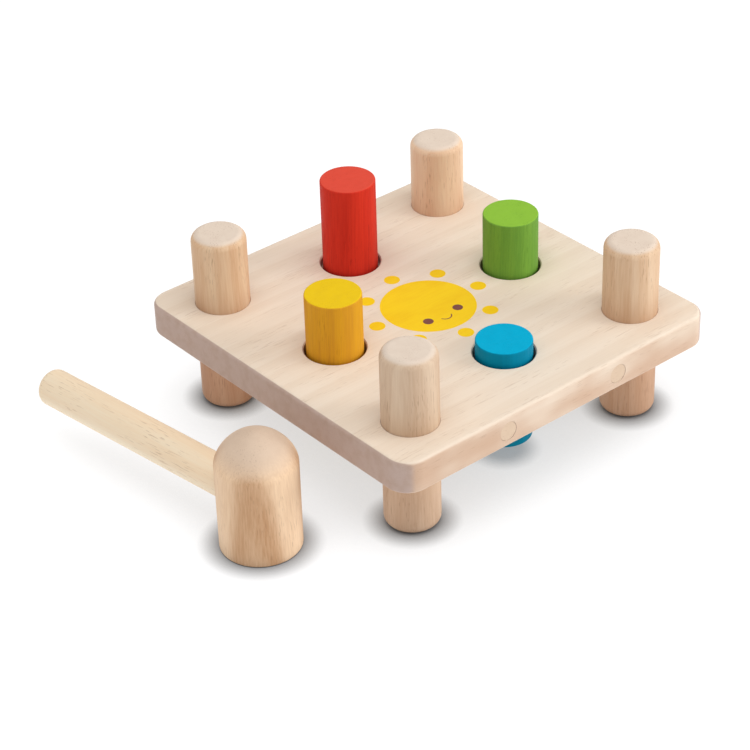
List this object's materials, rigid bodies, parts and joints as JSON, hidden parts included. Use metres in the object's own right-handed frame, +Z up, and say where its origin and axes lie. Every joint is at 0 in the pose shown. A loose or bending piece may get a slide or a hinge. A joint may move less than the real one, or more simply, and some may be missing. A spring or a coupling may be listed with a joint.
{
  "type": "toy pounding bench",
  "caption": "Reversible wooden pounding bench: square board on through legs, coloured pegs driven through gripping holes, and a separate round-headed mallet.",
  "frame": {"origin": "on the floor, under the middle of the box round the bench and the mallet that stands beside it", "axes": "+X along the board's front edge, +Y towards its back edge, +Z up, along the pegs"},
  "size_m": [0.2868, 0.225, 0.1134],
  "materials": {
    "board_wood": "fine-sanded rubberwood under matt clear lacquer, grain along X",
    "leg_wood": "turned rubberwood dowel, matt lacquer, grain along its length",
    "dowel_wood": "rubberwood dowel, only its sanded end grain shows",
    "head_wood": "turned rubberwood, matt lacquer, grain along its length",
    "handle_wood": "pale rubberwood dowel, matt lacquer, grain along its length",
    "red_stain": "rubberwood dowel stained red, the grain shows through",
    "yellow_stain": "rubberwood dowel stained yellow, the grain shows through",
    "green_stain": "rubberwood dowel stained green, the grain shows through",
    "blue_stain": "rubberwood dowel stained blue, the grain shows through",
    "grip_rubber": "matt dark rubber"
  },
  "bodies": {
    "bench": {"board": "board_wood", "leg_front_left": "leg_wood", "leg_front_right": "leg_wood", "leg_back_left": "leg_wood", "leg_back_right": "leg_wood", "cross_dowel_left": "dowel_wood", "cross_dowel_right": "dowel_wood", "grip_ring_red": "grip_rubber", "grip_ring_yellow": "grip_rubber", "grip_ring_green": "grip_rubber", "grip_ring_blue": "grip_rubber"},
    "red_peg": {"peg_red": "red_stain"},
    "yellow_peg": {"peg_yellow": "yellow_stain"},
    "green_peg": {"peg_green": "green_stain"},
    "blue_peg": {"peg_blue": "blue_stain"},
    "mallet": {"mallet_head": "head_wood", "mallet_handle": "handle_wood"}
  },
  "joints": [
    {"name": "red_peg_slide", "type": "slide", "parent": "bench", "child": "red_peg", "axis": [0, 0, 1], "range_m": [-0.0517, 0.0083]},
    {"name": "yellow_peg_slide", "type": "slide", "parent": "bench", "child": "yellow_peg", "axis": [0, 0, 1], "range_m": [-0.0336, 0.0264]},
    {"name": "green_peg_slide", "type": "slide", "parent": "bench", "child": "green_peg", "axis": [0, 0, 1], "range_m": [-0.0325, 0.0275]},
    {"name": "blue_peg_slide", "type": "slide", "parent": "bench", "child": "blue_peg", "axis": [0, 0, 1], "range_m": [-0.0079, 0.0521]},
    {"name": "mallet_lift", "type": "slide", "parent": "bench", "child": "mallet", "axis": [0, 0, 1], "range_m": [0, 0.15]}
  ]
}
